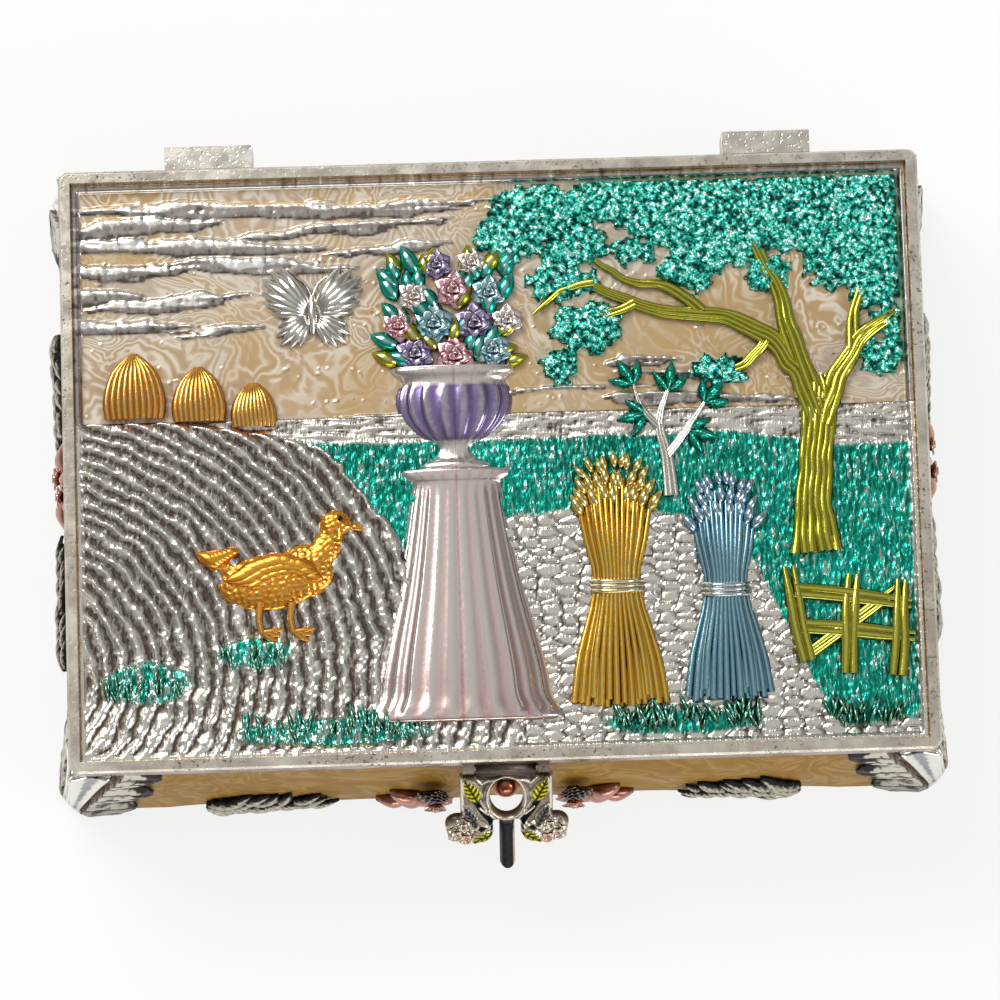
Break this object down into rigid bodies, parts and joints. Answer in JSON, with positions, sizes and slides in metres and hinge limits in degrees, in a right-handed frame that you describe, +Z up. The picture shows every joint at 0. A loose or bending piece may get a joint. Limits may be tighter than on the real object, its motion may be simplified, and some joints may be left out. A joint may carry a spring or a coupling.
{
  "type": "metal trinket box",
  "caption": "Cast metal trinket box with a hinged relief lid, flared corner legs, enamelled walls, velvet lining and a swinging hasp over a ball catch.",
  "frame": {"origin": "middle of the whole box's outline on the floor, between the feet; the lid's own middle is 5.1 mm behind it, because the swung-out hasp reaches forward", "axes": "+X to the right, -Y to the front where the hasp is, +Z up"},
  "size_m": [0.1356, 0.108, 0.037],
  "materials": {
    "silver_plate": "satin, pitted silver plate with dark recesses",
    "picture_relief": "silver relief with transparent teal, olive, rose, blue and gold colours and pearl tan enamel",
    "wall_enamel": "gloss amber brown enamel with a fine pearl swirl",
    "leaf_silver": "polished silver leaves with blackened recesses and yellow green veins",
    "copper_lacquer": "silver flowers under copper red lacquer, dark green leaves",
    "bright_steel": "polished",
    "velvet": "short pile velvet"
  },
  "bodies": {
    "base": {"body_shell": "silver_plate", "bottom_plate": "silver_plate", "catch_stud": "bright_steel", "enamel_back": "wall_enamel", "enamel_front": "wall_enamel", "enamel_left": "wall_enamel", "enamel_right": "wall_enamel", "flower_front_left": "copper_lacquer", "flower_front_right": "copper_lacquer", "flowers_back": "copper_lacquer", "flowers_left": "copper_lacquer", "flowers_right": "copper_lacquer", "hinge_body_leaf_left": "silver_plate", "hinge_body_leaf_right": "silver_plate", "hinge_pin_left": "bright_steel", "hinge_pin_right": "bright_steel", "keeper_plate": "leaf_silver", "leg_back_left": "silver_plate", "leg_back_right": "silver_plate", "leg_front_left": "silver_plate", "leg_front_right": "silver_plate", "lining_back": "velvet", "lining_floor": "velvet", "lining_front": "velvet", "lining_left": "velvet", "lining_right": "velvet", "spray_back_left": "leaf_silver", "spray_back_right": "leaf_silver", "spray_front_left": "leaf_silver", "spray_front_right": "leaf_silver", "spray_left_left": "leaf_silver", "spray_left_right": "leaf_silver", "spray_right_left": "leaf_silver", "spray_right_right": "leaf_silver"},
    "lid": {"hasp_pin": "bright_steel", "hinge_lid_leaf_left": "silver_plate", "hinge_lid_leaf_right": "silver_plate", "lid_frame": "silver_plate", "lid_lining": "velvet", "picture_plate": "picture_relief"},
    "hasp": {"hasp": "leaf_silver"}
  },
  "joints": [
    {"name": "lid_hinge", "type": "hinge", "parent": "base", "child": "lid", "pos_m": [0, 0.05164, 0.03135], "axis": [-1, 0, 0], "range_deg": [0, 100]},
    {"name": "hasp_hinge", "type": "hinge", "parent": "lid", "child": "hasp", "pos_m": [0, -0.03956, 0.03], "axis": [-1, 0, 0], "range_deg": [-38, 45]}
  ]
}
